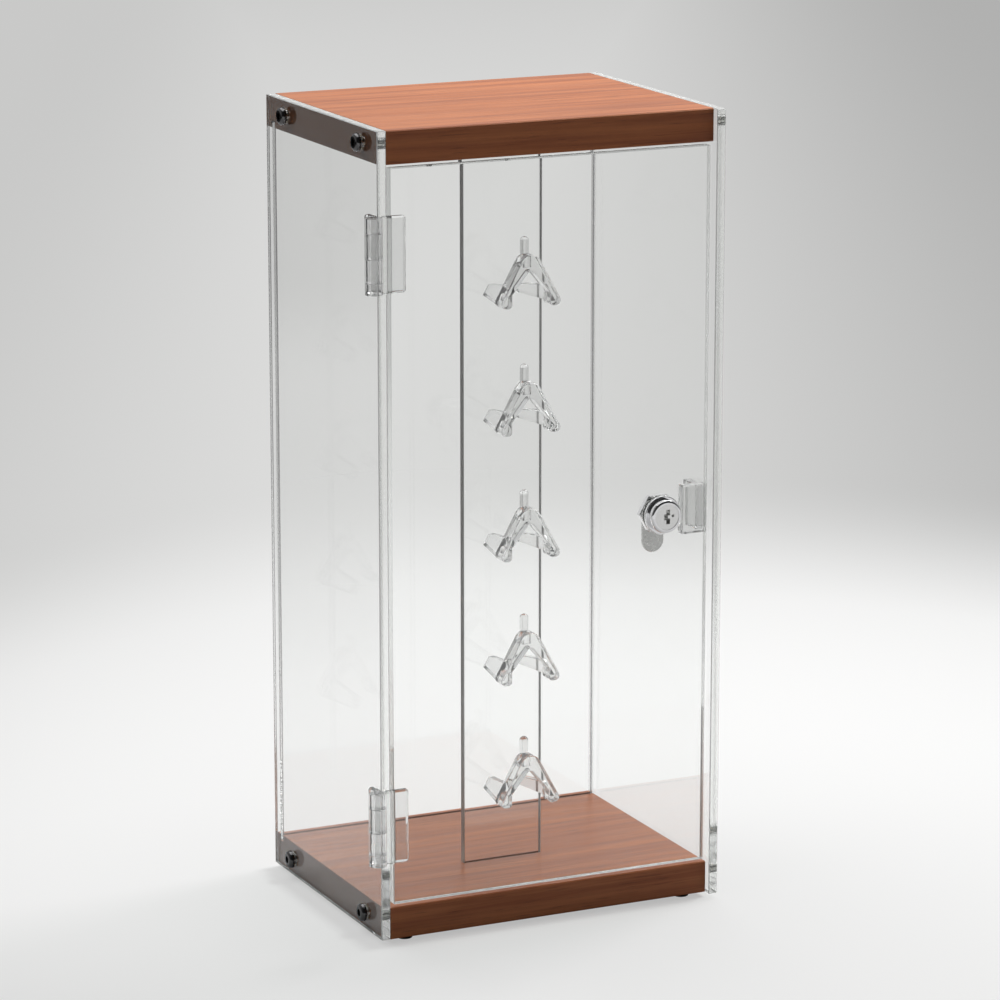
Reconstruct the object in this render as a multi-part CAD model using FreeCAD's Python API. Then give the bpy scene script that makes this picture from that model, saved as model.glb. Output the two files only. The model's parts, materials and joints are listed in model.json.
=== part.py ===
import FreeCAD, Part
import math
import os

# Countertop display case: two veneered boards between clear acrylic side panels, a clear back,
# a clear hinged door with a cam lock, and a clear strip inside that carries five nose holders.
# Millimetres, +Z up. X runs from the hinge side to the lock side, and -Y is the front.
# The origin is on the table, under the middle of the whole case with its hinges and screw heads.

Vector = FreeCAD.Vector
UP = Vector(0, 0, 1)
INWARD = Vector(0, 1, 0)
RIGHT = Vector(1, 0, 0)

# Boards
BOARD_LENGTH = 202.0
BOARD_DEPTH = 160.0
BOARD_THICKNESS = 19.0
BOARD_EDGE_BREAK = 0.6
CASE_HEIGHT = 465.0

# Side panels, back panel and door
SIDE_THICKNESS = 5.6
RIGHT_PANEL_PROUD = 4.5
BACK_THICKNESS = 4.5
BACK_INSET = 4.0
BACK_GROOVE_DEPTH = 4.0
DOOR_THICKNESS = 5.6
DOOR_GAP = 1.8
DOOR_PROUD = 0.4
PANEL_EDGE_BREAK = 0.5
SEAT_CLEARANCE = 0.15
TOP_PLAY = 0.5

# The thin line of air or cement between pieces that seat on each other
SEAT_GAP = 0.05

# Panel screws, four a side, in threaded inserts
SCREW_FROM_EDGE = 26.0
SCREW_DIAMETER = 6.0
SCREW_LENGTH = 19.0
SCREW_HOLE_CLEARANCE = 0.2
SCREW_HEAD_DIAMETER = 10.4
SCREW_HEAD_HEIGHT = 3.0
SCREW_HEAD_RIM = 0.9
SCREW_HEAD_FLAT_DIAMETER = 6.4
SOCKET_ACROSS_FLATS = 4.0
SOCKET_DEPTH = 1.9
INSERT_DIAMETER = 9.0
INSERT_LENGTH = 13.0
INSERT_TIP_ROOM = 2.0
INSERT_RECESS = 0.3

# Rubber feet
FOOT_DIAMETER = 10.0
FOOT_HEIGHT = 2.5
FOOT_TAPER = 0.6
FOOT_EDGE_RADIUS = 0.5
FOOT_FROM_END = 12.0
FOOT_FROM_EDGE = 8.0

# Holder strip
STRIP_WIDTH = 50.0
STRIP_THICKNESS = 4.5
STRIP_SET_BACK = 59.0
STRIP_LEFT_OF_MIDDLE = 4.0
STRIP_SLOT_DEPTH = 4.0
STRIP_EDGE_BREAK = 0.4

# Nose holders: an arch on two arms that reach back to the strip, with a stop post behind its crown
HOLDER_COUNT = 5
HOLDER_FIRST_RISE = 43.0
HOLDER_TOP_ROOM = 51.0
HOLDER_REACH = 38.5
ARCH_HEIGHT = 30.0
ARCH_DEPTH = 9.7
ARCH_HALF_ANGLE = 29.0
ARCH_CROWN_RADIUS = 6.6
ARCH_EDGE_RADIUS = 0.7
VAULT_HEIGHT = 22.0
VAULT_RADIUS = 2.0
KNEE_HEIGHT = 7.7
KNEE_RADIUS = 3.0
LEG_SPACING = 23.6
LEG_TOE_RADIUS = 2.9
LEG_HEEL_RADIUS = 2.2
ARM_THICKNESS = 3.6
ARM_INSET = 0.9
ARM_TOE_IN = 6.2
ARM_LOW = 1.6
ARM_ROOT_HEIGHT = 12.5
ARM_END_HEIGHT = 7.7
POST_DIAMETER = 5.0
POST_HEIGHT = 9.3

# Door hinges: two leaves with interleaved knuckles on a clear pin
HINGE_HEIGHT = 43.0
HINGE_FROM_END = 68.2
KNUCKLE_SHARES = (0.20, 0.33, 0.31, 0.16)
KNUCKLE_GAP = 0.4
BARREL_DIAMETER = 10.0
BARREL_CORNER_CLEARANCE = 0.7
LEAF_THICKNESS = 4.0
SIDE_LEAF_REACH = 9.5
DOOR_LEAF_REACH = 9.7
LEAF_EDGE_BREAK = 1.0
PIN_DIAMETER = 3.2
PIN_CLEARANCE = 0.08
PIN_FIT = 0.02

# Cam lock
LOCK_FROM_SIDE = 31.0
LOCK_HEIGHT = 232.0
FLANGE_DIAMETER = 22.6
FLANGE_THICKNESS = 1.8
FLANGE_EDGE_RADIUS = 0.6
BEZEL_DIAMETER = 19.6
BEZEL_PROUD = 7.0
BEZEL_EDGE_RADIUS = 1.6
HOUSING_DIAMETER = 15.8
HOUSING_FLATS = 13.8
HOUSING_HOLE_CLEARANCE = 0.2
HOUSING_SPARE_LENGTH = 1.0
LOCK_WASHER_DIAMETER = 21.0
LOCK_WASHER_THICKNESS = 0.8
NUT_ACROSS_FLATS = 21.0
NUT_THICKNESS = 4.0
NUT_EDGE_BREAK = 0.5
PLUG_HEAD_DIAMETER = 15.2
PLUG_HEAD_THICKNESS = 3.0
PLUG_RECESS = 0.3
PLUG_DIAMETER = 11.2
PLUG_CLEARANCE = 0.06
PLUG_END_PLAY = 0.12
TAIL_WIDTH = 7.0
TAIL_FIT = 0.05
STOP_WASHER_DIAMETER = 15.4
STOP_WASHER_CORE = 11.4
STOP_WASHER_THICKNESS = 1.2
STOP_LUG_WIDTH = 1.8
STOP_CLEARANCE = 0.2
KEYWAY_HEIGHT = 8.4
KEYWAY_WIDTH = 2.4
KEYWAY_STEP = 1.4
KEYWAY_DEPTH = 6.0
KEYWAY_MIDDLE_SHARE = 0.42
KEYWAY_LAP_SHARE = 0.1
PLUG_DIMPLE_DIAMETER = 1.8
PLUG_DIMPLE_DEPTH = 1.6
PLUG_DIMPLE_OFFSET = 3.8
PLUG_DIMPLE_RISE = 0.5
CAM_WIDTH = 13.5
CAM_REACH = 24.5
CAM_THICKNESS = 2.0
CAM_EDGE_BREAK = 0.25
CAM_SCREW_DIAMETER = 4.0
CAM_SCREW_LENGTH = 7.0
CAM_SCREW_HEAD_DIAMETER = 7.4
CAM_SCREW_HEAD_HEIGHT = 2.4
CAM_SCREW_HEAD_RADIUS = 1.0
CAM_SCREW_SLOT_WIDTH = 1.1
CAM_SCREW_SLOT_DEPTH = 1.3
CAM_WASHER_DIAMETER = 10.4
CAM_WASHER_THICKNESS = 0.8

# Strike for the cam, two acrylic pieces cemented to the right panel
STRIKE_REACH = 15.5
STRIKE_HEIGHT = 28.5
STRIKE_STOP_GAP = 0.3
STRIKE_CAM_PLAY = 0.5
STRIKE_BLOCK_THICKNESS = 5.0
STRIKE_BLOCK_DEPTH = 14.0
STRIKE_BLOCK_HEIGHT = 26.5
STRIKE_EDGE_BREAK = 0.4

# One overrun serves every through cut, and one tolerance finds edges by their place
OVERRUN = 1.0
PLACE_TOLERANCE = 0.01

# Places that several pieces share
BARREL_RADIUS = BARREL_DIAMETER / 2
HINGE_STANDOFF = (BARREL_RADIUS + BARREL_CORNER_CLEARANCE) / math.sqrt(2)
SIDE_STACK = SEAT_GAP + SIDE_THICKNESS
HINGE_OVERHANG = SIDE_STACK + HINGE_STANDOFF + BARREL_RADIUS
SCREW_OVERHANG = SIDE_STACK + SEAT_GAP + SCREW_HEAD_HEIGHT
DOOR_OVERHANG = DOOR_PROUD + max(HINGE_STANDOFF + BARREL_RADIUS, BEZEL_PROUD)
FRONT_OVERHANG = max(DOOR_OVERHANG, RIGHT_PANEL_PROUD)
BOARD_X = (max(HINGE_OVERHANG, SCREW_OVERHANG) - SCREW_OVERHANG) / 2
BOARD_Y = FRONT_OVERHANG / 2

BASE_BOTTOM = FOOT_HEIGHT
BASE_TOP = BASE_BOTTOM + BOARD_THICKNESS
CASE_TOP = BASE_BOTTOM + CASE_HEIGHT
CEILING = CASE_TOP - BOARD_THICKNESS
LEFT_END = BOARD_X - BOARD_LENGTH / 2
RIGHT_END = BOARD_X + BOARD_LENGTH / 2
FRONT = BOARD_Y - BOARD_DEPTH / 2
BACK = BOARD_Y + BOARD_DEPTH / 2
LEFT_OUTER = LEFT_END - SIDE_STACK
RIGHT_INNER = RIGHT_END + SEAT_GAP
RIGHT_OUTER = RIGHT_END + SIDE_STACK
BACK_PANEL_REAR = BACK - BACK_INSET
BACK_PANEL_FRONT = BACK_PANEL_REAR - BACK_THICKNESS
STRIP_X = BOARD_X - STRIP_LEFT_OF_MIDDLE
STRIP_FRONT = FRONT + STRIP_SET_BACK
DOOR_FRONT = FRONT - DOOR_PROUD
DOOR_INNER = DOOR_FRONT + DOOR_THICKNESS

HINGE_X = LEFT_OUTER - HINGE_STANDOFF
HINGE_Y = DOOR_FRONT - HINGE_STANDOFF
HINGE_LEVELS = {
    "upper": CASE_TOP - HINGE_FROM_END - HINGE_HEIGHT / 2,
    "lower": BASE_BOTTOM + HINGE_FROM_END - HINGE_HEIGHT / 2,
}

LOCK_X = RIGHT_END - LOCK_FROM_SIDE
LOCK_Z = BASE_BOTTOM + LOCK_HEIGHT
BEZEL_FACE = DOOR_FRONT - BEZEL_PROUD
WASHER_FRONT = DOOR_INNER + SEAT_GAP
NUT_FRONT = WASHER_FRONT + LOCK_WASHER_THICKNESS
NUT_REAR = NUT_FRONT + NUT_THICKNESS
HOUSING_REAR = NUT_REAR + HOUSING_SPARE_LENGTH
PLUG_FACE = BEZEL_FACE + PLUG_RECESS
PLUG_HEAD_REAR = PLUG_FACE + PLUG_HEAD_THICKNESS
PLUG_SHOULDER = HOUSING_REAR + PLUG_END_PLAY
CAM_FRONT = PLUG_SHOULDER + STOP_WASHER_THICKNESS
CAM_REAR = CAM_FRONT + CAM_THICKNESS
STRIKE_FRONT = DOOR_INNER + STRIKE_STOP_GAP
STRIKE_REAR = CAM_FRONT - STRIKE_CAM_PLAY


def block(x0, x1, y0, y1, z0, z1):
    """A box between two corners."""
    return Part.makeBox(x1 - x0, y1 - y0, z1 - z0, Vector(x0, y0, z0))


def rod(centre, direction, diameter, length):
    """A cylinder that starts at a centre and runs along a direction."""
    return Part.makeCylinder(diameter / 2, length, centre, direction)


def lock_rod(diameter, y0, y1):
    """A cylinder on the lock's axis between two depths."""
    return rod(Vector(LOCK_X, y0, LOCK_Z), INWARD, diameter, y1 - y0)


def chamfered(solid, size):
    """The solid with all its edges broken."""
    return solid.makeChamfer(size, solid.Edges)


def runs_along(edge, direction):
    """Whether an edge starts along a direction."""
    return abs(edge.tangentAt(edge.FirstParameter).dot(direction)) > math.cos(math.radians(1))


def circle_edges(solid, centre):
    """The closed circular edges about a centre."""
    return [e for e in solid.Edges if e.isClosed() and (e.CenterOfMass - centre).Length < PLACE_TOLERANCE]


def rounded_outline(corners, radii):
    """A closed wire through corners, each rounded by an arc of its own radius."""
    count = len(corners)
    entries = []
    for i in range(count):
        corner = corners[i]
        before = (corners[i - 1] - corner).normalize()
        after = (corners[(i + 1) % count] - corner).normalize()
        half = before.getAngle(after) / 2
        reach = radii[i] / math.tan(half)
        middle = (before + after).normalize()
        crown = corner + middle * (radii[i] / math.sin(half) - radii[i])
        entries.append((corner + before * reach, crown, corner + after * reach))
    edges = []
    for i in range(count):
        start, crown, end = entries[i]
        edges.append(Part.Arc(start, crown, end).toShape())
        edges.append(Part.LineSegment(end, entries[(i + 1) % count][0]).toShape())
    return Part.Wire(edges)


def polygon_prism(corners, sweep):
    """A straight-sided prism on a flat polygon."""
    return Part.Face(Part.makePolygon(corners + corners[:1])).extrude(sweep)


def hexagon(centre, across_flats, direction, sweep, first_corner):
    """A hexagonal prism about a centre, with its first corner along a direction."""
    radius = across_flats / math.sqrt(3)
    corners = []
    for i in range(6):
        turn = FreeCAD.Rotation(direction, 60 * i)
        corners.append(centre + turn.multVec(first_corner) * radius)
    return polygon_prism(corners, direction * sweep)


def save(name, shape):
    """Writes one node."""
    shape.exportStep(os.path.join("parts", name + ".step"))


# Panel screws and inserts

SCREW_LEVELS = (BASE_BOTTOM + BOARD_THICKNESS / 2, CASE_TOP - BOARD_THICKNESS / 2)
SCREW_DEPTHS = (FRONT + SCREW_FROM_EDGE, BACK - SCREW_FROM_EDGE)


def screw_places(outer_face):
    """The four screw centres on a side panel's outer face."""
    return [Vector(outer_face, y, z) for z in SCREW_LEVELS for y in SCREW_DEPTHS]


def panel_screw(seat, inward):
    """A button-head socket screw: a domed head on the panel and a shank into the insert."""
    radius = SCREW_HEAD_DIAMETER / 2
    flat = SCREW_HEAD_FLAT_DIAMETER / 2
    rise = SCREW_HEAD_HEIGHT - SCREW_HEAD_RIM
    run = radius - flat
    bulge = (math.sqrt(2) - 1) / 2
    rim = Vector(radius, 0, SCREW_HEAD_RIM)
    crown = Vector(flat, 0, SCREW_HEAD_HEIGHT)
    middle = (rim + crown) / 2 + Vector(rise, 0, run) * bulge
    edges = [
        Part.LineSegment(Vector(), Vector(radius, 0, 0)).toShape(),
        Part.LineSegment(Vector(radius, 0, 0), rim).toShape(),
        Part.Arc(rim, middle, crown).toShape(),
        Part.LineSegment(crown, Vector(0, 0, SCREW_HEAD_HEIGHT)).toShape(),
        Part.LineSegment(Vector(0, 0, SCREW_HEAD_HEIGHT), Vector()).toShape(),
    ]
    head = Part.Face(Part.Wire(edges)).revolve(Vector(), UP, 360)
    floor = Vector(0, 0, SCREW_HEAD_HEIGHT - SOCKET_DEPTH)
    head = head.cut(hexagon(floor, SOCKET_ACROSS_FLATS, UP, SOCKET_DEPTH + OVERRUN, RIGHT))
    shank = rod(Vector(0, 0, -SCREW_LENGTH), UP, SCREW_DIAMETER, SCREW_LENGTH)
    screw = head.fuse(shank)
    screw.Placement = FreeCAD.Placement(seat - inward * SEAT_GAP, FreeCAD.Rotation(UP, inward * -1))
    return screw


def threaded_insert(seat, inward):
    """A sleeve in the board's end, bored to take the screw."""
    mouth = seat + inward * (SIDE_STACK + INSERT_RECESS)
    sleeve = rod(mouth, inward, INSERT_DIAMETER, INSERT_LENGTH)
    return sleeve.cut(rod(mouth, inward, SCREW_DIAMETER, INSERT_LENGTH))


def insert_hole(seat, inward):
    """The bore in the board for an insert, and the room past it for the screw's tip."""
    mouth = seat + inward * SIDE_STACK
    floor = INSERT_RECESS + INSERT_LENGTH
    tip = max(SCREW_LENGTH - SIDE_STACK, floor) + INSERT_TIP_ROOM
    return rod(mouth, inward, INSERT_DIAMETER, floor).fuse(rod(mouth, inward, SCREW_DIAMETER, tip))


SIDES = {
    "left": (LEFT_OUTER, RIGHT),
    "right": (RIGHT_OUTER, RIGHT * -1),
}


# Boards

def strip_slot(z0, z1):
    """The pocket that takes one end of the holder strip."""
    half = STRIP_WIDTH / 2 + SEAT_CLEARANCE
    rear = STRIP_FRONT + STRIP_THICKNESS + SEAT_CLEARANCE
    return block(STRIP_X - half, STRIP_X + half, STRIP_FRONT - SEAT_CLEARANCE, rear, z0, z1)


def back_groove(z0, z1):
    """The groove along the board that takes one edge of the back panel."""
    front = BACK_PANEL_FRONT - SEAT_CLEARANCE
    rear = BACK_PANEL_REAR + SEAT_CLEARANCE
    return block(LEFT_END - OVERRUN, RIGHT_END + OVERRUN, front, rear, z0, z1)


def board(z0, slot_span, groove_span):
    """A board with broken long edges, a slot, a groove and the bores for its inserts."""
    solid = block(LEFT_END, RIGHT_END, FRONT, BACK, z0, z0 + BOARD_THICKNESS)
    solid = solid.makeChamfer(BOARD_EDGE_BREAK, [e for e in solid.Edges if runs_along(e, RIGHT)])
    cuts = [strip_slot(*slot_span), back_groove(*groove_span)]
    for outer_face, inward in SIDES.values():
        cuts += [insert_hole(seat, inward) for seat in screw_places(outer_face)]
    return solid.cut(cuts)


def boards():
    base_slot = (BASE_TOP - STRIP_SLOT_DEPTH, BASE_TOP + OVERRUN)
    base_groove = (BASE_TOP - BACK_GROOVE_DEPTH, BASE_TOP + OVERRUN)
    save("base_board", board(BASE_BOTTOM, base_slot, base_groove))
    top_slot = (CEILING - OVERRUN, CEILING + STRIP_SLOT_DEPTH)
    top_groove = (CEILING - OVERRUN, CEILING + BACK_GROOVE_DEPTH)
    save("top_board", board(CEILING, top_slot, top_groove))


# Side panels with their screws and inserts

def side_panel(x0, front, outer_face, inward):
    """A side panel with four screw holes."""
    solid = chamfered(block(x0, x0 + SIDE_THICKNESS, front, BACK, BASE_BOTTOM, CASE_TOP), PANEL_EDGE_BREAK)
    hole = SCREW_DIAMETER + SCREW_HOLE_CLEARANCE * 2
    return solid.cut([rod(seat, inward, hole, SIDE_THICKNESS) for seat in screw_places(outer_face)])


def side_panels():
    save("left_side_panel", side_panel(LEFT_OUTER, FRONT, *SIDES["left"]))
    save("right_side_panel", side_panel(RIGHT_INNER, FRONT - RIGHT_PANEL_PROUD, *SIDES["right"]))
    for side, (outer_face, inward) in SIDES.items():
        seats = screw_places(outer_face)
        save(side + "_panel_screws", Part.makeCompound([panel_screw(s, inward) for s in seats]))
        save(side + "_panel_inserts", Part.makeCompound([threaded_insert(s, inward) for s in seats]))


# Back panel and holder strip, held in the boards

def back_panel():
    left = LEFT_END + SEAT_CLEARANCE
    right = RIGHT_END - SEAT_CLEARANCE
    low = BASE_TOP - BACK_GROOVE_DEPTH + SEAT_GAP
    high = CEILING + BACK_GROOVE_DEPTH - TOP_PLAY
    solid = block(left, right, BACK_PANEL_FRONT, BACK_PANEL_REAR, low, high)
    save("back_panel", chamfered(solid, PANEL_EDGE_BREAK))


def holder_strip():
    half = STRIP_WIDTH / 2
    low = BASE_TOP - STRIP_SLOT_DEPTH + SEAT_GAP
    high = CEILING + STRIP_SLOT_DEPTH - TOP_PLAY
    solid = block(STRIP_X - half, STRIP_X + half, STRIP_FRONT, STRIP_FRONT + STRIP_THICKNESS, low, high)
    save("holder_strip", chamfered(solid, STRIP_EDGE_BREAK))


# Nose holders

def arch_apex():
    """The height where the outer lines of both legs would meet."""
    return ARCH_HEIGHT + ARCH_CROWN_RADIUS * (1 / math.sin(math.radians(ARCH_HALF_ANGLE)) - 1)


def outer_line(height):
    """How far a leg's outer line stands from the middle at a height above the feet."""
    return (arch_apex() - height) * math.tan(math.radians(ARCH_HALF_ANGLE))


def arch(foot, front):
    """The arch: two legs that narrow to their knees and meet in a rounded crown, with soft rims."""
    wide = outer_line(0)
    narrow = LEG_SPACING / 2
    right = [(wide, 0), (narrow, 0), (narrow, KNEE_HEIGHT)]
    left = [(-u, w) for u, w in reversed(right)]
    points = [(0, arch_apex())] + right + [(0, VAULT_HEIGHT)] + left
    leg_radii = [LEG_TOE_RADIUS, LEG_HEEL_RADIUS, KNEE_RADIUS]
    radii = [ARCH_CROWN_RADIUS] + leg_radii + [VAULT_RADIUS] + leg_radii[::-1]
    outline = rounded_outline([Vector(STRIP_X + u, front, foot + w) for u, w in points], radii)
    solid = Part.Face(outline).extrude(INWARD * ARCH_DEPTH)
    return solid.makeFillet(ARCH_EDGE_RADIUS, [e for e in solid.Edges if not runs_along(e, INWARD)])


def holder_arm(side, foot, front):
    """One arm: from inside a leg back to the strip, turned in and lower towards the strip."""
    root = front + ARCH_DEPTH / 2
    end = STRIP_FRONT - SEAT_GAP
    inset = ARM_INSET + ARM_TOE_IN
    marks = [
        (root, ARM_LOW, ARM_INSET),
        (root, ARM_ROOT_HEIGHT, ARM_INSET),
        (end, ARM_END_HEIGHT, inset),
        (end, ARM_LOW, inset),
    ]
    corners = [Vector(STRIP_X + (outer_line(w) - shift) * side, y, foot + w) for y, w, shift in marks]
    return polygon_prism(corners, RIGHT * (-side * ARM_THICKNESS))


def nose_holder(foot):
    """An arch on two arms, and a round-topped post that runs up the back of its crown."""
    front = STRIP_FRONT - HOLDER_REACH
    arms = [holder_arm(side, foot, front) for side in (-1, 1)]
    radius = POST_DIAMETER / 2
    post_foot = Vector(STRIP_X, front + ARCH_DEPTH, foot + VAULT_HEIGHT)
    rise = ARCH_HEIGHT + POST_HEIGHT - VAULT_HEIGHT - radius
    post = rod(post_foot, UP, POST_DIAMETER, rise)
    tip = Part.makeSphere(radius, post_foot + UP * rise)
    return arch(foot, front).fuse(arms + [post, tip]).removeSplitter()


def nose_holders():
    """The holders, evenly spaced between the lowest and the one under the top board."""
    lowest = BASE_TOP + HOLDER_FIRST_RISE
    highest = CEILING - HOLDER_TOP_ROOM - POST_HEIGHT - ARCH_HEIGHT
    pitch = (highest - lowest) / (HOLDER_COUNT - 1)
    for i in range(HOLDER_COUNT):
        save("nose_holder_" + str(i + 1), nose_holder(highest - pitch * i))


# Feet

def rubber_foot(x, y):
    """A round foot that narrows a little downwards, with a soft lower edge."""
    top = FOOT_DIAMETER / 2
    solid = Part.makeCone(top - FOOT_TAPER, top, FOOT_HEIGHT, Vector(x, y, 0), UP)
    return solid.makeFillet(FOOT_EDGE_RADIUS, circle_edges(solid, Vector(x, y, 0)))


def rubber_feet():
    for depth, y in (("front", FRONT + FOOT_FROM_EDGE), ("back", BACK - FOOT_FROM_EDGE)):
        for side, x in (("left", LEFT_END + FOOT_FROM_END), ("right", RIGHT_END - FOOT_FROM_END)):
            save("foot_" + depth + "_" + side, rubber_foot(x, y))


# Hinges

def knuckle_spans(low):
    """The lower and upper ends of the knuckles, from the top down."""
    spans = []
    top = low + HINGE_HEIGHT
    for share in KNUCKLE_SHARES:
        bottom = top - HINGE_HEIGHT * share
        spans.append((bottom + KNUCKLE_GAP / 2, top - KNUCKLE_GAP / 2))
        top = bottom
    return spans


def hinge_rod(diameter, z0, z1):
    """A cylinder on the hinge axis between two heights."""
    return rod(Vector(HINGE_X, HINGE_Y, z0), UP, diameter, z1 - z0)


def hinge_leaf(low, plate, root_place, spans, bore):
    """A leaf: its plate cleared round the barrel, with knuckles and their roots on its own spans."""
    start = low - OVERRUN
    end = low + HINGE_HEIGHT + OVERRUN
    leaf = chamfered(plate, LEAF_EDGE_BREAK).cut(hinge_rod(BARREL_DIAMETER + KNUCKLE_GAP * 2, start, end))
    pieces = []
    for z0, z1 in spans:
        pieces += [hinge_rod(BARREL_DIAMETER, z0, z1), block(*root_place, z0, z1)]
    return leaf.fuse(pieces).cut(hinge_rod(bore, start, end)).removeSplitter()


def hinge(name, low):
    high = low + HINGE_HEIGHT
    spans = knuckle_spans(low)
    side_seat = LEFT_OUTER - SEAT_GAP
    side_skin = side_seat - LEAF_THICKNESS
    side_plate = block(side_skin, side_seat, FRONT, FRONT + SIDE_LEAF_REACH, low, high)
    side_root = (side_skin, side_seat, HINGE_Y, FRONT + BARREL_RADIUS)
    fixed_bore = PIN_DIAMETER + PIN_FIT * 2
    save(name + "_hinge_side_leaf", hinge_leaf(low, side_plate, side_root, spans[0::2], fixed_bore))
    door_seat = DOOR_FRONT - SEAT_GAP
    door_skin = door_seat - LEAF_THICKNESS
    plate_start = LEFT_OUTER + KNUCKLE_GAP
    door_plate = block(plate_start, LEFT_END + DOOR_LEAF_REACH, door_skin, door_seat, low, high)
    door_root = (HINGE_X, LEFT_OUTER + BARREL_RADIUS, door_skin, door_seat)
    running_bore = PIN_DIAMETER + PIN_CLEARANCE * 2
    save(name + "_hinge_door_leaf", hinge_leaf(low, door_plate, door_root, spans[1::2], running_bore))
    save(name + "_hinge_pin", hinge_rod(PIN_DIAMETER, low, high))


# Door and its cam lock

def housing_section(diameter, flats, y0, y1):
    """A round bar on the lock's axis with two upright flats."""
    half = flats / 2
    reach = diameter / 2
    bar = lock_rod(diameter, y0, y1)
    return bar.common(block(LOCK_X - half, LOCK_X + half, y0, y1, LOCK_Z - reach, LOCK_Z + reach))


def door_panel():
    left = LEFT_END + DOOR_GAP
    right = RIGHT_END - DOOR_GAP
    solid = block(left, right, DOOR_FRONT, DOOR_INNER, BASE_TOP + DOOR_GAP, CEILING - DOOR_GAP)
    solid = chamfered(solid, PANEL_EDGE_BREAK)
    spare = HOUSING_HOLE_CLEARANCE * 2
    hole = housing_section(
        HOUSING_DIAMETER + spare, HOUSING_FLATS + spare, DOOR_FRONT - OVERRUN, DOOR_INNER + OVERRUN
    )
    save("door_panel", solid.cut(hole))


def lock_housing():
    """Flange and bezel in front of the door, and a flatted barrel through it with a stop lug behind."""
    flange_seat = DOOR_FRONT - SEAT_GAP
    flange_face = flange_seat - FLANGE_THICKNESS
    flange = lock_rod(FLANGE_DIAMETER, flange_face, flange_seat)
    flange = flange.makeFillet(FLANGE_EDGE_RADIUS, circle_edges(flange, Vector(LOCK_X, flange_face, LOCK_Z)))
    bezel = lock_rod(BEZEL_DIAMETER, BEZEL_FACE, flange_seat)
    bezel = bezel.makeFillet(BEZEL_EDGE_RADIUS, circle_edges(bezel, Vector(LOCK_X, BEZEL_FACE, LOCK_Z)))
    barrel = housing_section(HOUSING_DIAMETER, HOUSING_FLATS, flange_face, HOUSING_REAR)
    lug_half = STOP_LUG_WIDTH / 2
    lug_foot = LOCK_Z + STOP_WASHER_CORE / 2 + STOP_CLEARANCE
    lug_top = LOCK_Z + STOP_WASHER_DIAMETER / 2
    lug_rear = HOUSING_REAR + STOP_WASHER_THICKNESS
    lug = block(LOCK_X - lug_half, LOCK_X + lug_half, NUT_REAR, lug_rear, lug_foot, lug_top)
    solid = flange.fuse([bezel, barrel, lug])
    spare = PLUG_CLEARANCE * 2
    head_room = lock_rod(PLUG_HEAD_DIAMETER + spare, BEZEL_FACE - OVERRUN, PLUG_HEAD_REAR + PLUG_END_PLAY)
    bore = lock_rod(PLUG_DIAMETER + spare, BEZEL_FACE, HOUSING_REAR + OVERRUN)
    save("lock_housing", solid.cut([head_room, bore]).removeSplitter())


def lock_fixings():
    """The washer and the hexagon nut that hold the housing in the door."""
    hole = housing_section(
        HOUSING_DIAMETER + HOUSING_HOLE_CLEARANCE * 2,
        HOUSING_FLATS + HOUSING_HOLE_CLEARANCE * 2,
        DOOR_INNER - OVERRUN,
        NUT_REAR + OVERRUN,
    )
    save("lock_washer", lock_rod(LOCK_WASHER_DIAMETER, WASHER_FRONT, NUT_FRONT).cut(hole))
    nut = hexagon(Vector(LOCK_X, NUT_FRONT, LOCK_Z), NUT_ACROSS_FLATS, INWARD, NUT_THICKNESS, RIGHT)
    nut = chamfered(nut, NUT_EDGE_BREAK)
    save("lock_nut", nut.cut(lock_rod(HOUSING_DIAMETER, NUT_FRONT - OVERRUN, NUT_REAR + OVERRUN)))


def keyway():
    """The key slot: three upright steps, the middle one set over to the side."""
    low = LOCK_Z - KEYWAY_HEIGHT / 2
    high = LOCK_Z + KEYWAY_HEIGHT / 2
    middle = KEYWAY_HEIGHT * KEYWAY_MIDDLE_SHARE / 2
    lap = KEYWAY_HEIGHT * KEYWAY_LAP_SHARE
    spans = [
        (low, LOCK_Z - middle + lap, 1),
        (LOCK_Z - middle, LOCK_Z + middle, -1),
        (LOCK_Z + middle - lap, high, 1),
    ]
    steps = []
    for z0, z1, side in spans:
        x = LOCK_X + side * KEYWAY_STEP / 2
        half = KEYWAY_WIDTH / 2
        steps.append(block(x - half, x + half, PLUG_FACE - OVERRUN, PLUG_FACE + KEYWAY_DEPTH, z0, z1))
    return steps[0].fuse(steps[1:])


def tail(width, y0, y1):
    """The square on the plug's end, or the hole for it."""
    half = width / 2
    return block(LOCK_X - half, LOCK_X + half, y0, y1, LOCK_Z - half, LOCK_Z + half)


def lock_plug():
    """The turning plug: a round head with the key slot and a dimple, a shank and a square tail."""
    head = lock_rod(PLUG_HEAD_DIAMETER, PLUG_FACE, PLUG_HEAD_REAR)
    shank = lock_rod(PLUG_DIAMETER, PLUG_HEAD_REAR, PLUG_SHOULDER)
    square = tail(TAIL_WIDTH, PLUG_SHOULDER, CAM_REAR - TAIL_FIT)
    thread = lock_rod(CAM_SCREW_DIAMETER, CAM_REAR + CAM_WASHER_THICKNESS - CAM_SCREW_LENGTH, CAM_REAR)
    mark = Vector(LOCK_X + PLUG_DIMPLE_OFFSET, PLUG_FACE, LOCK_Z + PLUG_DIMPLE_RISE)
    dimple = rod(mark, INWARD, PLUG_DIMPLE_DIAMETER, PLUG_DIMPLE_DEPTH)
    save("lock_plug", head.fuse([shank, square]).cut([keyway(), thread, dimple]))


def tail_hole():
    """The square hole that keys a washer or the cam to the plug."""
    return tail(TAIL_WIDTH + TAIL_FIT * 2, HOUSING_REAR, CAM_REAR + OVERRUN)


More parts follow.
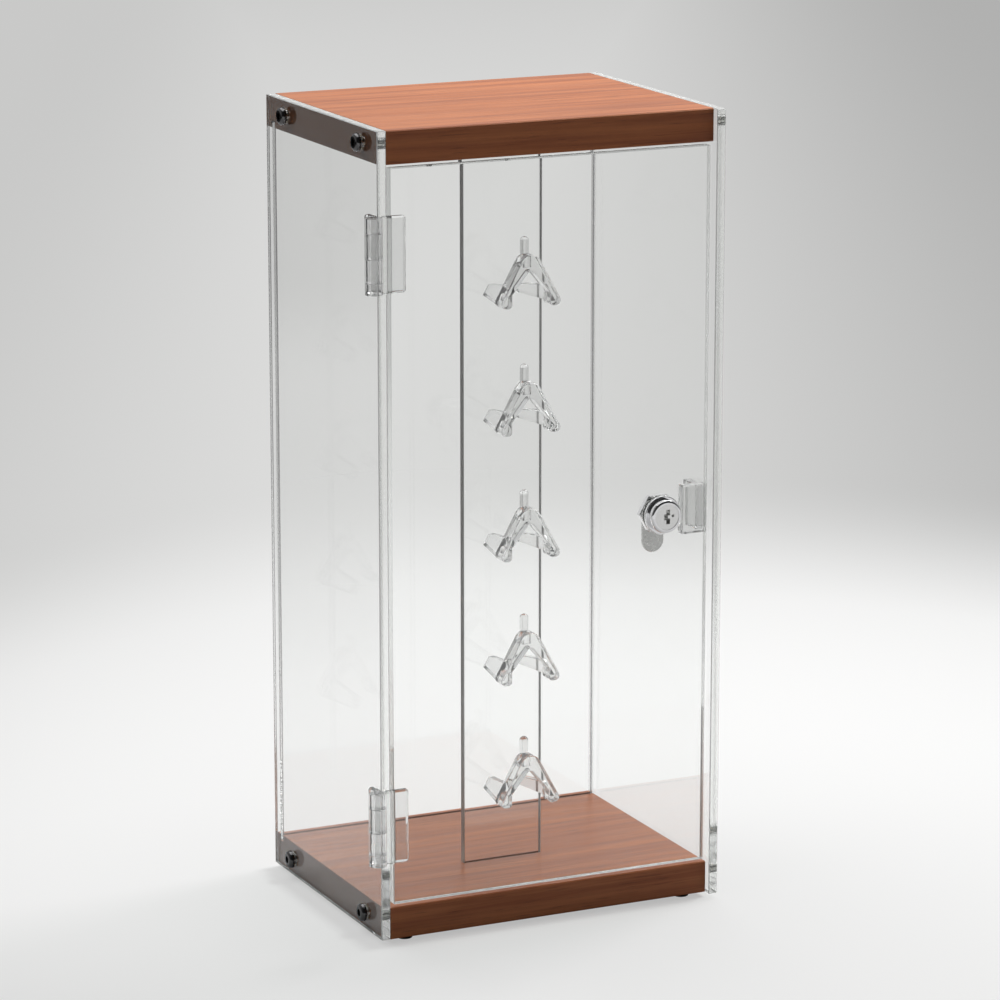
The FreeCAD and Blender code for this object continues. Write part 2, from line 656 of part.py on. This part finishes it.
def lock_stop_washer():
    """A disc on the tail whose cut-away quarter lets the housing's lug pass for a quarter turn."""
    disc = lock_rod(STOP_WASHER_DIAMETER, PLUG_SHOULDER, CAM_FRONT)
    start = STOP_LUG_WIDTH / 2 + STOP_CLEARANCE
    reach = STOP_WASHER_DIAMETER
    quarter = block(LOCK_X - start, LOCK_X + reach, PLUG_SHOULDER, CAM_FRONT, LOCK_Z - start, LOCK_Z + reach)
    quarter = quarter.cut(lock_rod(STOP_WASHER_CORE, PLUG_SHOULDER, CAM_FRONT))
    save("lock_stop_washer", disc.cut([quarter, tail_hole()]))


def lock_cam():
    """The round-ended cam. It hangs down when unlocked and turns a quarter turn behind the strike."""
    end = CAM_WIDTH / 2
    hub = Vector(LOCK_X, CAM_FRONT, LOCK_Z)
    tip = hub - UP * (CAM_REACH - end)
    side = RIGHT * end
    edges = [
        Part.Arc(hub - side, hub + UP * end, hub + side).toShape(),
        Part.LineSegment(hub + side, tip + side).toShape(),
        Part.Arc(tip + side, tip - UP * end, tip - side).toShape(),
        Part.LineSegment(tip - side, hub - side).toShape(),
    ]
    plate = Part.Face(Part.Wire(edges)).extrude(INWARD * CAM_THICKNESS)
    plate = plate.makeChamfer(CAM_EDGE_BREAK, [e for e in plate.Edges if not runs_along(e, INWARD)])
    save("lock_cam", plate.cut(tail_hole()))


def cam_fixings():
    """The washer and the slotted screw that hold the cam on the plug."""
    seat = CAM_REAR + CAM_WASHER_THICKNESS
    hole = lock_rod(CAM_SCREW_DIAMETER, CAM_REAR - OVERRUN, seat + OVERRUN)
    save("cam_washer", lock_rod(CAM_WASHER_DIAMETER, CAM_REAR, seat).cut(hole))
    top = seat + CAM_SCREW_HEAD_HEIGHT
    head = lock_rod(CAM_SCREW_HEAD_DIAMETER, seat, top)
    head = head.makeFillet(CAM_SCREW_HEAD_RADIUS, circle_edges(head, Vector(LOCK_X, top, LOCK_Z)))
    half = CAM_SCREW_SLOT_WIDTH / 2
    reach = CAM_SCREW_HEAD_DIAMETER / 2 + OVERRUN
    floor = top - CAM_SCREW_SLOT_DEPTH
    slot = block(LOCK_X - reach, LOCK_X + reach, floor, top + OVERRUN, LOCK_Z - half, LOCK_Z + half)
    shank = lock_rod(CAM_SCREW_DIAMETER, seat - CAM_SCREW_LENGTH, seat)
    save("cam_screw", head.cut(slot).fuse(shank).removeSplitter())


def strike():
    """The plate that the cam turns behind, which also stops the door, and the block behind it."""
    half = STRIKE_HEIGHT / 2
    left = RIGHT_END - STRIKE_REACH
    plate = block(left, RIGHT_END, STRIKE_FRONT, STRIKE_REAR, LOCK_Z - half, LOCK_Z + half)
    save("strike_plate", chamfered(plate, STRIKE_EDGE_BREAK))
    half = STRIKE_BLOCK_HEIGHT / 2
    rear = STRIKE_REAR + STRIKE_BLOCK_DEPTH
    left = RIGHT_END - STRIKE_BLOCK_THICKNESS
    side = block(left, RIGHT_END, STRIKE_REAR + SEAT_GAP, rear, LOCK_Z - half, LOCK_Z + half)
    save("strike_block", chamfered(side, STRIKE_EDGE_BREAK))


os.makedirs("parts", exist_ok=True)
boards()
side_panels()
back_panel()
holder_strip()
nose_holders()
rubber_feet()
for hinge_name, hinge_low in HINGE_LEVELS.items():
    hinge(hinge_name, hinge_low)
door_panel()
lock_housing()
lock_fixings()
lock_plug()
lock_stop_washer()
lock_cam()
cam_fixings()
strike()
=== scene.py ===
import bpy
import json
import math
import numpy as np
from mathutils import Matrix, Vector


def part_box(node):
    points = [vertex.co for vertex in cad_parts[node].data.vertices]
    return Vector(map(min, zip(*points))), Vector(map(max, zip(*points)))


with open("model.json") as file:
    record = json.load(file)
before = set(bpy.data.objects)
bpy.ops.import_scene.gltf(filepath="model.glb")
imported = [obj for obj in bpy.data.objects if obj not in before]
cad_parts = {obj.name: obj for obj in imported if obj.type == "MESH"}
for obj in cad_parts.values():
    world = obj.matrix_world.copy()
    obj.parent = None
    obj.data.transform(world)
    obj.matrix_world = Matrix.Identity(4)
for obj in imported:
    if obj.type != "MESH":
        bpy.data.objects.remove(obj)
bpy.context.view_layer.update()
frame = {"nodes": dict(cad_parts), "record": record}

# Countertop display case: lacquered walnut veneer boards, clear acrylic walls, door, hinges and
# holders, a chrome cam lock, black nickel screws and rubber feet. Metres, in the solids' own frame.

scene = bpy.context.scene

# Camera: azimuth, elevation and distance from a point on the case's upright middle line
CAMERA_AZIMUTH = -25.097
CAMERA_ELEVATION = 13.4025
CAMERA_DISTANCE = 2.5818
FOCAL_PIXELS = 4419.8
IMAGE_PIXELS = 1000
SENSOR_WIDTH = 36.0
CLIP_END = 100.0
AIM_RIGHT = 0.00512
AIM_UP = 0.22984

# Floor: its mesh, and the tones of the part near the case, with a painted glow that lifts the case's
# shadow
FLOOR_RINGS = (0.5, 1.0, 2.0, 4.0, 14.0)
FLOOR_POINTS = 96
FLOOR_TONE = 0.78
FLOOR_SHADOW_LIFT_TONE = 0.93
# Least share of painted glow on the floor as seen: painted light that lifts the case's shadow
FLOOR_SHADOW_LIFT = 0.50
FLOOR_BOUNCE = 0.56
FLOOR_BLUE = 0.995

# Cove: the grey that the floor turns to between two distances from the case
COVE_START = 0.30
COVE_END = 1.10
COVE_FAR = 8.8
COVE_TONE = 0.73
COVE_DARK_TONE = 0.44
COVE_BLUE = 0.99
STAGE_RIGHT = (0.906, -0.424, 0.0)
SIDE_DIM_START = -0.15
SIDE_DIM_END = 0.75
LEFT_DIM_START = 0.05
LEFT_DIM_END = 0.60
LEFT_DIM = 0.5
LEFT_PULL = 0.30

# Cove as shiny faces mirror it: dark far away, bright in front of the door
COVE_MIRRORED_TONE = 0.50
COVE_MIRRORED_DARK = 0.04
MIRRORED_START = 1.5
MIRRORED_END = 2.1
COVE_FRONT_TONE = 0.78

# Sky: its light by the Y part of the direction
SKY_DARK = 0.04
SKY_BRIGHT = 0.45
SKY_THROUGH = 0.80
SKY_START = -0.5
SKY_END = 0.7
SKY_THROUGH_END = 0.2

# Lights
LIGHT_AIM = (0.0, 0.0, 0.25)
KEY_PLACE = (1.15, 0.35, 1.55)
KEY_SIZE = 0.5
KEY_WATTS = 24.0
TOP_PLACE = (0.0, 0.40, 1.55)
TOP_SIZE = 1.5
TOP_WATTS = 15.0
BOUNCES = 64
CLEAR_BOUNCES = 48

# Noise textures keep mostly between these values
NOISE_LOW = 0.3
NOISE_HIGH = 0.7

# Acrylic
ACRYLIC_IOR = 1.491
ACRYLIC_TINT = (0.996, 0.999, 0.996)
LAMP_TINT = (0.89, 0.90, 0.895)
FACING_FROM = 0.3
FACING_FULL = 0.6
EDGE_TINT = (0.97, 0.98, 0.965)
EDGE_MILK = 0.55
EDGE_MILK_SPREAD = 0.2
EDGE_ROUGHNESS = 0.3
SAW_SCALE = 360.0
SANDED_ROUGHNESS = 0.40
SIDE_ROUGHNESS = 0.12
POLISHED = 0.04
SCRAPED_MILK = 0.7
FAINT_SHARE = 0.7
FAINT_FROM = 0.112
FAINT_FULL = 0.120
DULL_TINT = (0.58, 0.58, 0.55)
DULL_MILK = 0.75
MOULDED_MILK = 0.08
MOULDED_SCALE = 120.0
MOULDED_FROM = 0.4
MOULDED_FULL = 0.8
MOULDED_ROUGHNESS = 0.03

# Veneer: the grain's noises are drawn out along X and weighed into one tone
BAND_STRETCH = (2.0, 40.0, 40.0)
BAND_SCALE = 3.0
LINE_STRETCH = (6.0, 190.0, 190.0)
FINE_STRETCH = (14.0, 700.0, 700.0)
PORE_STRETCH = (45.0, 1100.0, 1100.0)
BAND_WEIGHT = 0.45
LINE_WEIGHT = 0.35
FINE_WEIGHT = 0.20
PORE_WEIGHT = 0.35
TONE_LOW = 0.36
TONE_HIGH = 0.64
PORE_FROM = 0.60
PORE_FULL = 0.70
BOARD_END_FROM = 0.7
BOARD_END_FULL = 0.8
VENEER_DARK = (0.350, 0.096, 0.030)
VENEER_LIGHT = (0.55, 0.185, 0.066)
VENEER_PORE = (0.06, 0.018, 0.008)
VENEER_SHINE = 0.3
VENEER_SMOOTHEST = 0.30
VENEER_ROUGHEST = 0.40
GRAIN_STRENGTH = 0.08
GRAIN_DEPTH = 0.0004
CORE_DARK = (0.38, 0.125, 0.030)
CORE_LIGHT = (0.46, 0.160, 0.045)
CORE_ROUGHNESS = 0.95

# Metals
CHROME = (0.80, 0.80, 0.81)
ZINC = (0.62, 0.62, 0.61)
# Brass darkened to a dark bronze: painted shade of the inserts' recesses
BRASS_DARKENED_FOR_SHADE = (0.20, 0.14, 0.07)
# Thread tone painted bright: a painted highlight that the acrylic mirrors as a light streak
SCREW_THREAD_PAINTED_BRIGHT = (0.62, 0.62, 0.60)
SCREW_HEAD = (0.12, 0.118, 0.12)
SCREW_GRAIN = 400.0
SCREW_SMOOTHEST = 0.08
SCREW_ROUGHEST = 0.16
PLUG_DARK = (0.74, 0.74, 0.73)
PLUG_LIGHT = (0.86, 0.86, 0.85)
PLUG_RING_SCALE = 6000.0
PLUG_SMOOTHEST = 0.20
PLUG_ROUGHEST = 0.32
PLUG_RING_STRENGTH = 0.15
PLUG_RING_DEPTH = 0.00003

# Rubber
RUBBER_DARK = (0.018, 0.018, 0.018)
RUBBER_LIGHT = (0.035, 0.034, 0.033)
RUBBER_GRAIN = 1800.0
RUBBER_ROUGHNESS = 0.75
RUBBER_STRENGTH = 0.2
RUBBER_DEPTH = 0.0001

# Sockets of a colour Mix node, whose names repeat for its other kinds of data
MIX_FACTOR = 0
MIX_FIRST = 6
MIX_SECOND = 7
MIX_RESULT = 2


def middle(node):
    """The middle of a node's box."""
    low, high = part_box(node)
    return (Vector(low) + Vector(high)) / 2


BOARD_MIDDLE = middle("base_board")
BASE_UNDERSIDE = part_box("base_board")[0][2]


# Camera

def add_camera():
    """A camera without shift that looks at the case from the front left, a little from above."""
    data = bpy.data.cameras.new("camera")
    data.sensor_width = SENSOR_WIDTH
    data.lens = FOCAL_PIXELS * SENSOR_WIDTH / IMAGE_PIXELS
    data.clip_end = CLIP_END
    camera = bpy.data.objects.new("camera", data)
    scene.collection.objects.link(camera)
    azimuth = math.radians(CAMERA_AZIMUTH)
    elevation = math.radians(CAMERA_ELEVATION)
    level = math.cos(elevation)
    back = Vector((math.sin(azimuth) * level, -math.cos(azimuth) * level, math.sin(elevation)))
    aim = Vector((BOARD_MIDDLE.x + AIM_RIGHT, BOARD_MIDDLE.y, BASE_UNDERSIDE + AIM_UP))
    camera.location = aim + back * CAMERA_DISTANCE
    camera.rotation_mode = "QUATERNION"
    camera.rotation_quaternion = (-back).to_track_quat("-Z", "Y")
    scene.camera = camera


# Node helpers

def new_material(name):
    """A material with an empty node tree and its output."""
    material = bpy.data.materials.new(name)
    material.use_nodes = True
    tree = material.node_tree
    tree.nodes.clear()
    tree.nodes.new("ShaderNodeOutputMaterial")
    return material, tree


def feed(tree, socket, value):
    """Links an input to an output, or sets its value."""
    if isinstance(value, bpy.types.NodeSocket):
        tree.links.new(value, socket)
    else:
        socket.default_value = value


def add(tree, kind, **inputs):
    """A node with some of its inputs set or linked by name."""
    node = tree.nodes.new(kind)
    for key, value in inputs.items():
        feed(tree, node.inputs[key.replace("_", " ")], value)
    return node


def opaque(colour):
    """A colour with full alpha. A linked one stays as it is."""
    if isinstance(colour, bpy.types.NodeSocket):
        return colour
    return (*colour, 1.0)


def grey(tone, blue=1.0):
    """A grey of one tone, with blue held back to a share of it."""
    return (tone, tone, tone * blue)


def calc(tree, operation, first, second=0.0):
    """A Math node's output."""
    node = tree.nodes.new("ShaderNodeMath")
    node.operation = operation
    feed(tree, node.inputs[0], first)
    feed(tree, node.inputs[1], second)
    return node.outputs["Value"]


def vector_calc(tree, operation, *vectors):
    """The value that a Vector Math node makes of one or two vectors."""
    node = tree.nodes.new("ShaderNodeVectorMath")
    node.operation = operation
    for socket, vector in zip(node.inputs, vectors):
        feed(tree, socket, vector)
    return node.outputs["Value"]


def remap(tree, value, low, high, to_low=0.0, to_high=1.0):
    """A value moved from one range to another with soft ends."""
    node = tree.nodes.new("ShaderNodeMapRange")
    node.interpolation_type = "SMOOTHSTEP"
    tree.links.new(value, node.inputs["Value"])
    node.inputs["From Min"].default_value = low
    node.inputs["From Max"].default_value = high
    node.inputs["To Min"].default_value = to_low
    node.inputs["To Max"].default_value = to_high
    return node.outputs["Result"]


def blend_colours(tree, factor, first, second):
    """Two colours mixed by a factor."""
    node = tree.nodes.new("ShaderNodeMix")
    node.data_type = "RGBA"
    feed(tree, node.inputs[MIX_FACTOR], factor)
    feed(tree, node.inputs[MIX_FIRST], opaque(first))
    feed(tree, node.inputs[MIX_SECOND], opaque(second))
    return node.outputs[MIX_RESULT]


def coordinates(tree, kind):
    """One kind of texture coordinates."""
    return tree.nodes.new("ShaderNodeTexCoord").outputs[kind]


def parts_of(tree, vector):
    """The X, Y and Z outputs of a vector."""
    return add(tree, "ShaderNodeSeparateXYZ", Vector=vector).outputs


def placed(tree, scale=(1.0, 1.0, 1.0), shift=(0.0, 0.0, 0.0)):
    """Object coordinates, scaled and shifted."""
    vector = coordinates(tree, "Object")
    mapping = add(tree, "ShaderNodeMapping", Vector=vector, Scale=scale, Location=shift)
    return mapping.outputs["Vector"]


def noise(tree, vector, scale=1.0, detail=3.0, roughness=0.55, distortion=0.0):
    """A noise texture's value."""
    node = add(tree, "ShaderNodeTexNoise", Vector=vector, Scale=scale, Detail=detail, Roughness=roughness,
               Distortion=distortion)
    return node.outputs["Fac"]


def bump(tree, height, strength, distance):
    """A bump normal from a height."""
    node = add(tree, "ShaderNodeBump", Height=height, Strength=strength, Distance=distance)
    return node.outputs["Normal"]


def principled(tree, colour, roughness, **inputs):
    """A Principled shader with a colour, a roughness and other inputs by name."""
    return add(tree, "ShaderNodeBsdfPrincipled", Base_Color=opaque(colour), Roughness=roughness, **inputs)


def finish_surface(tree, shader):
    """Links a shader to the material's output."""
    tree.links.new(shader.outputs[0], tree.nodes["Material Output"].inputs["Surface"])


def finish_mixed(tree, factor, first, second):
    """Links a mix of two shaders to the material's output."""
    either = tree.nodes.new("ShaderNodeMixShader")
    for socket, value in zip(either.inputs, (factor, first.outputs[0], second.outputs[0])):
        tree.links.new(value, socket)
    finish_surface(tree, either)


# Materials

def walnut_veneer():
    """Long grain along X: broad bands, fine lines and dark pores under a satin lacquer. The ends show a
    plain core."""
    material, tree = new_material("walnut_veneer")
    facing = parts_of(tree, coordinates(tree, "Normal"))
    end = remap(tree, calc(tree, "ABSOLUTE", facing["X"]), BOARD_END_FROM, BOARD_END_FULL)
    bands = noise(tree, placed(tree, BAND_STRETCH), BAND_SCALE, roughness=0.5, distortion=0.5)
    lines = noise(tree, placed(tree, LINE_STRETCH), detail=4.0, roughness=0.6, distortion=0.3)
    fine = noise(tree, placed(tree, FINE_STRETCH), roughness=0.6)
    pores = remap(tree, noise(tree, placed(tree, PORE_STRETCH), detail=2.0), PORE_FROM, PORE_FULL)
    broad = calc(tree, "MULTIPLY", bands, BAND_WEIGHT)
    tone = calc(tree, "ADD", broad, calc(tree, "MULTIPLY", lines, LINE_WEIGHT))
    tone = calc(tree, "ADD", tone, calc(tree, "MULTIPLY", fine, FINE_WEIGHT))
    tone = remap(tree, tone, TONE_LOW, TONE_HIGH)
    face = blend_colours(tree, tone, VENEER_DARK, VENEER_LIGHT)
    face = blend_colours(tree, calc(tree, "MULTIPLY", pores, PORE_WEIGHT), face, VENEER_PORE)
    core = blend_colours(tree, fine, CORE_DARK, CORE_LIGHT)
    lacquer = remap(tree, lines, NOISE_LOW, NOISE_HIGH, VENEER_SMOOTHEST, VENEER_ROUGHEST)
    roughness = calc(tree, "MAXIMUM", lacquer, calc(tree, "MULTIPLY", end, CORE_ROUGHNESS))
    relief = bump(tree, calc(tree, "SUBTRACT", fine, pores), GRAIN_STRENGTH, GRAIN_DEPTH)
    shader = principled(tree, blend_colours(tree, end, face, core), roughness, Normal=relief,
                        Specular_IOR_Level=VENEER_SHINE)
    finish_surface(tree, shader)
    return material


def lamps_through(tree, shader, faint=0.0):
    """The shader, with rays from lamps, and the share faint of all rays, passing straight through."""
    passing = add(tree, "ShaderNodeBsdfTransparent", Color=opaque(LAMP_TINT))
    path = tree.nodes.new("ShaderNodeLightPath")
    straight = calc(tree, "MAXIMUM", path.outputs["Is Shadow Ray"], faint)
    finish_mixed(tree, straight, shader, passing)


def sheet_acrylic(name, edge_axis, edge_tint=EDGE_TINT, edge_milk=0.0, edge_faint=0.0,
                  sanded=SANDED_ROUGHNESS):
    """Sheet acrylic, clear through its faces, milky on its sawn ends and scraped corners, and as rough as
    sanded on the upright edges that look along edge_axis. The share edge_faint of all rays passes straight
    through those edges and the top end, except low down, where they would only pick up the base board's
    colour."""
    material, tree = new_material(name)
    facing = parts_of(tree, coordinates(tree, "Normal"))
    place = parts_of(tree, coordinates(tree, "Object"))

    def looks_along(axis, full=1.0):
        """The value full on faces that look along an axis either way, and 0 elsewhere."""
        return remap(tree, calc(tree, "ABSOLUTE", facing[axis]), FACING_FROM, FACING_FULL, 0.0, full)

    end = looks_along("Z")
    edge = looks_along(edge_axis)
    scraped = looks_along("X" if edge_axis == "Y" else "Y", SCRAPED_MILK)
    saw = noise(tree, placed(tree), SAW_SCALE, detail=4.0, roughness=0.6)
    least_milk = EDGE_MILK * (1.0 - EDGE_MILK_SPREAD)
    most_milk = EDGE_MILK * (1.0 + EDGE_MILK_SPREAD)
    sawn = remap(tree, saw, NOISE_LOW, NOISE_HIGH, least_milk, most_milk)
    end_milk = calc(tree, "MULTIPLY", end, sawn)
    milk = calc(tree, "MAXIMUM", end_milk, calc(tree, "MULTIPLY", edge, edge_milk))
    milk = calc(tree, "MAXIMUM", milk, calc(tree, "MULTIPLY", edge, scraped))
    colour = blend_colours(tree, end, ACRYLIC_TINT, EDGE_TINT)
    colour = blend_colours(tree, edge, colour, edge_tint)
    roughness = calc(tree, "MAXIMUM", calc(tree, "MULTIPLY", end_milk, EDGE_ROUGHNESS),
                     calc(tree, "MULTIPLY", edge, sanded))
    shader = principled(tree, colour, roughness, IOR=ACRYLIC_IOR,
                        Transmission_Weight=calc(tree, "SUBTRACT", 1.0, milk))
    top = remap(tree, facing["Z"], FACING_FROM, FACING_FULL)
    faint = remap(tree, place["Z"], FAINT_FROM, FAINT_FULL, 0.0, edge_faint)
    lamps_through(tree, shader, calc(tree, "MULTIPLY", calc(tree, "MAXIMUM", edge, top), faint))
    return material


def moulded_acrylic():
    """Clear moulded acrylic with a faint unevenness in its polish."""
    material, tree = new_material("moulded_acrylic")
    polish = noise(tree, placed(tree), MOULDED_SCALE)
    roughness = remap(tree, polish, MOULDED_FROM, MOULDED_FULL, 0.0, MOULDED_ROUGHNESS)
    shader = principled(tree, ACRYLIC_TINT, roughness, IOR=ACRYLIC_IOR,
                        Transmission_Weight=1.0 - MOULDED_MILK)
    lamps_through(tree, shader)
    return material


def plated(name, colour, smoothest, roughest, grain):
    """Plated metal whose polish varies a little."""
    material, tree = new_material(name)
    polish = noise(tree, placed(tree), grain)
    roughness = remap(tree, polish, NOISE_LOW, NOISE_HIGH, smoothest, roughest)
    finish_surface(tree, principled(tree, colour, roughness, Metallic=1.0))
    return material


def panel_screws(node):
    """Black nickel heads on screws whose threads, inside the panel and the board, are painted bright: a
    painted highlight, so that the acrylic round them mirrors a light streak instead of a dark band.
    """
    low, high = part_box(node.replace("panel_screws", "side_panel"))
    half = (high[0] - low[0]) / 2
    centre = (high[0] + low[0]) / 2
    material, tree = new_material(node)
    place = parts_of(tree, coordinates(tree, "Object"))
    from_panel = calc(tree, "SUBTRACT", place["X"], centre)
    outward = calc(tree, "MULTIPLY", from_panel, math.copysign(1.0, centre))
    head = calc(tree, "GREATER_THAN", outward, half)
    # Threads painted bright, a painted highlight mirrored in the acrylic round them
    colour = blend_colours(tree, head, SCREW_THREAD_PAINTED_BRIGHT, SCREW_HEAD)
    polish = noise(tree, placed(tree), SCREW_GRAIN)
    roughness = remap(tree, polish, NOISE_LOW, NOISE_HIGH, SCREW_SMOOTHEST, SCREW_ROUGHEST)
    finish_surface(tree, principled(tree, colour, roughness, Metallic=1.0))
    return material


def satin_plug():
    """Chrome with a satin face, brushed in rings round the lock's axis."""
    material, tree = new_material("satin_plug")
    axis = middle("lock_plug")
    from_axis = placed(tree, (1.0, 0.0, 1.0), (-axis.x, 0.0, -axis.z))
    texture = tree.nodes.new("ShaderNodeTexNoise")
    texture.noise_dimensions = "1D"
    feed(tree, texture.inputs["W"], vector_calc(tree, "LENGTH", from_axis))
    feed(tree, texture.inputs["Scale"], PLUG_RING_SCALE)
    rings = texture.outputs["Fac"]
    colour = blend_colours(tree, rings, PLUG_DARK, PLUG_LIGHT)
    roughness = remap(tree, rings, NOISE_LOW, NOISE_HIGH, PLUG_SMOOTHEST, PLUG_ROUGHEST)
    relief = bump(tree, rings, PLUG_RING_STRENGTH, PLUG_RING_DEPTH)
    finish_surface(tree, principled(tree, colour, roughness, Metallic=1.0, Normal=relief))
    return material


def rubber():
    """Matt black rubber with a fine grain."""
    material, tree = new_material("foot_rubber")
    grain = noise(tree, placed(tree), RUBBER_GRAIN, detail=2.0)
    colour = blend_colours(tree, grain, RUBBER_DARK, RUBBER_LIGHT)
    relief = bump(tree, grain, RUBBER_STRENGTH, RUBBER_DEPTH)
    finish_surface(tree, principled(tree, colour, RUBBER_ROUGHNESS, Normal=relief))
    return material


def dress_nodes():
    """Gives each CAD node a finish of its own, or else the finish of its record slot."""
    finishes = {
        "walnut_veneer": walnut_veneer(),
        "clear_acrylic": moulded_acrylic(),
        "lock_chrome": plated("lock_chrome", CHROME, smoothest=0.03, roughest=0.10, grain=300.0),
        "lock_steel": plated("lock_steel", ZINC, smoothest=0.22, roughest=0.38, grain=500.0),
        # The inserts' dark brass is painted shade of their recesses
        "insert_brass": plated("insert_brass", BRASS_DARKENED_FOR_SHADE, smoothest=0.3, roughest=0.45, grain=400.0),
        "foot_rubber": rubber(),
    }
    side_sheet = sheet_acrylic("side_acrylic", "Y", sanded=SIDE_ROUGHNESS)
    own_finishes = {
        "left_side_panel": side_sheet,
        "right_side_panel": side_sheet,
        "back_panel": sheet_acrylic("back_acrylic", "X", ACRYLIC_TINT, sanded=POLISHED),
        "holder_strip": sheet_acrylic("strip_acrylic", "X", DULL_TINT, DULL_MILK),
        "door_panel": sheet_acrylic("door_acrylic", "X", edge_faint=FAINT_SHARE),
        "left_panel_screws": panel_screws("left_panel_screws"),
        "right_panel_screws": panel_screws("right_panel_screws"),
        "lock_plug": satin_plug(),
    }
    for row in frame["record"]["subparts"]:
        finish = own_finishes.get(row["node"]) or finishes[row["material_slot"]]
        for socket in frame["nodes"][row["node"]].material_slots:
            socket.material = finish


# Stage and lights

def floor_material():
    """A pale matt floor that turns to a soft grey glow away from the case. Near the case it glows at a
    share of its own, painted light that lifts the case's shadow on it. The grey is darker to the right and
    far away, and at the left it comes nearer and is a little darker. Shiny faces mirror it in tones of its
    own, and other rays that bounce meet a duller floor."""
    material, tree = new_material("floor")
    vector = coordinates(tree, "Object")
    distance = vector_calc(tree, "LENGTH", vector)
    sideways = vector_calc(tree, "DOT_PRODUCT", vector, STAGE_RIGHT)
    path = tree.nodes.new("ShaderNodeLightPath")
    seen = calc(tree, "MAXIMUM", path.outputs["Is Camera Ray"], path.outputs["Is Transmission Ray"])
    pale = blend_colours(tree, seen, grey(FLOOR_BOUNCE), grey(FLOOR_TONE, FLOOR_BLUE))
    matt = add(tree, "ShaderNodeBsdfDiffuse", Color=pale)
    far = remap(tree, distance, COVE_END, COVE_FAR)
    right = remap(tree, sideways, SIDE_DIM_START, SIDE_DIM_END)
    left = remap(tree, sideways, -LEFT_DIM_START, -LEFT_DIM_END, 0.0, LEFT_DIM)
    dim = calc(tree, "MAXIMUM", calc(tree, "MAXIMUM", far, right), left)
    cove = blend_colours(tree, dim, grey(COVE_TONE, COVE_BLUE), grey(COVE_DARK_TONE, COVE_BLUE))
    in_front = remap(tree, parts_of(tree, vector)["Y"], -COVE_START, -COVE_END)
    mirrored = remap(tree, distance, MIRRORED_START, MIRRORED_END, COVE_MIRRORED_TONE, COVE_MIRRORED_DARK)
    mirrored = blend_colours(tree, in_front, mirrored, grey(COVE_FRONT_TONE))
    cove = blend_colours(tree, seen, mirrored, cove)
    pull = remap(tree, sideways, -LEFT_DIM_START, -LEFT_DIM_END, 0.0, LEFT_PULL)
    away = remap(tree, calc(tree, "ADD", distance, pull), COVE_START, COVE_END)
    glowing = blend_colours(tree, away, grey(FLOOR_SHADOW_LIFT_TONE, FLOOR_BLUE), cove)
    glow = add(tree, "ShaderNodeEmission", Color=glowing)
    # The floor near the case glows at least this share: painted light over the case's shadow
    glow_seen = calc(tree, "MULTIPLY", calc(tree, "MAXIMUM", away, FLOOR_SHADOW_LIFT), seen)
    glow_mirrored = calc(tree, "MULTIPLY", away, path.outputs["Is Glossy Ray"])
    finish_mixed(tree, calc(tree, "MAXIMUM", glow_mirrored, glow_seen), matt, glow)
    return material


def add_floor():
    """A flat disc on the table's level: rings of points at growing radii round the case."""
    turns = np.linspace(0.0, 2.0 * math.pi, FLOOR_POINTS, endpoint=False)
    radius, turn = np.meshgrid(FLOOR_RINGS, turns, indexing="ij")
    ring_x = radius * np.cos(turn)
    ring_y = radius * np.sin(turn)
    points = np.stack([ring_x, ring_y, np.zeros_like(turn)], -1).reshape(-1, 3)
    index = np.arange(len(points)).reshape(len(FLOOR_RINGS), FLOOR_POINTS)
    inner, outer = index[:-1], index[1:]
    quads = np.stack([inner, outer, np.roll(outer, -1, 1), np.roll(inner, -1, 1)], -1).reshape(-1, 4)
    mesh = bpy.data.meshes.new("floor")
    mesh.from_pydata(points.tolist(), [], [index[0].tolist()] + quads.tolist())
    floor = bpy.data.objects.new("floor", mesh)
    scene.collection.objects.link(floor)
    mesh.materials.append(floor_material())


def add_softbox(name, place, size, watts):
    """A square area light aimed at the case."""
    data = bpy.data.lights.new(name, "AREA")
    data.shape = "SQUARE"
    data.size = size
    data.energy = watts
    light = bpy.data.objects.new(name, data)
    scene.collection.objects.link(light)
    light.location = place
    light.rotation_mode = "QUATERNION"
    light.rotation_quaternion = (Vector(LIGHT_AIM) - Vector(place)).to_track_quat("-Z", "Y")


def add_sky():
    """A studio that is bright behind the case and dim on the door's side, and brighter still through
    acrylic. Straight from the camera it is the grey of the floor's far edge."""
    world = bpy.data.worlds.new("studio")
    world.use_nodes = True
    tree = world.node_tree
    direction = parts_of(tree, coordinates(tree, "Generated"))
    path = tree.nodes.new("ShaderNodeLightPath")
    behind = remap(tree, direction["Y"], SKY_START, SKY_END, SKY_DARK, SKY_BRIGHT)
    through = remap(tree, direction["Y"], SKY_START, SKY_THROUGH_END, SKY_DARK, SKY_THROUGH)
    through = calc(tree, "MULTIPLY", through, path.outputs["Is Transmission Ray"])
    lit = calc(tree, "MAXIMUM", behind, through)
    colour = blend_colours(tree, path.outputs["Is Camera Ray"], lit, grey(COVE_DARK_TONE))
    tree.links.new(colour, tree.nodes["Background"].inputs["Color"])
    scene.world = world


def add_lights():
    """A soft key light high on the right, a little behind, and a wide weak light overhead."""
    add_softbox("key_light", KEY_PLACE, KEY_SIZE, KEY_WATTS)
    add_softbox("top_light", TOP_PLACE, TOP_SIZE, TOP_WATTS)


def set_light_paths():
    """Enough bounces for light to cross every acrylic wall, and no caustic noise."""
    scene.cycles.max_bounces = BOUNCES
    scene.cycles.transmission_bounces = BOUNCES
    scene.cycles.glossy_bounces = BOUNCES
    scene.cycles.transparent_max_bounces = CLEAR_BOUNCES
    scene.cycles.caustics_reflective = False
    scene.cycles.caustics_refractive = False


scene.view_settings.view_transform = "Standard"
add_camera()
add_floor()
add_sky()
add_lights()
set_light_paths()
dress_nodes()
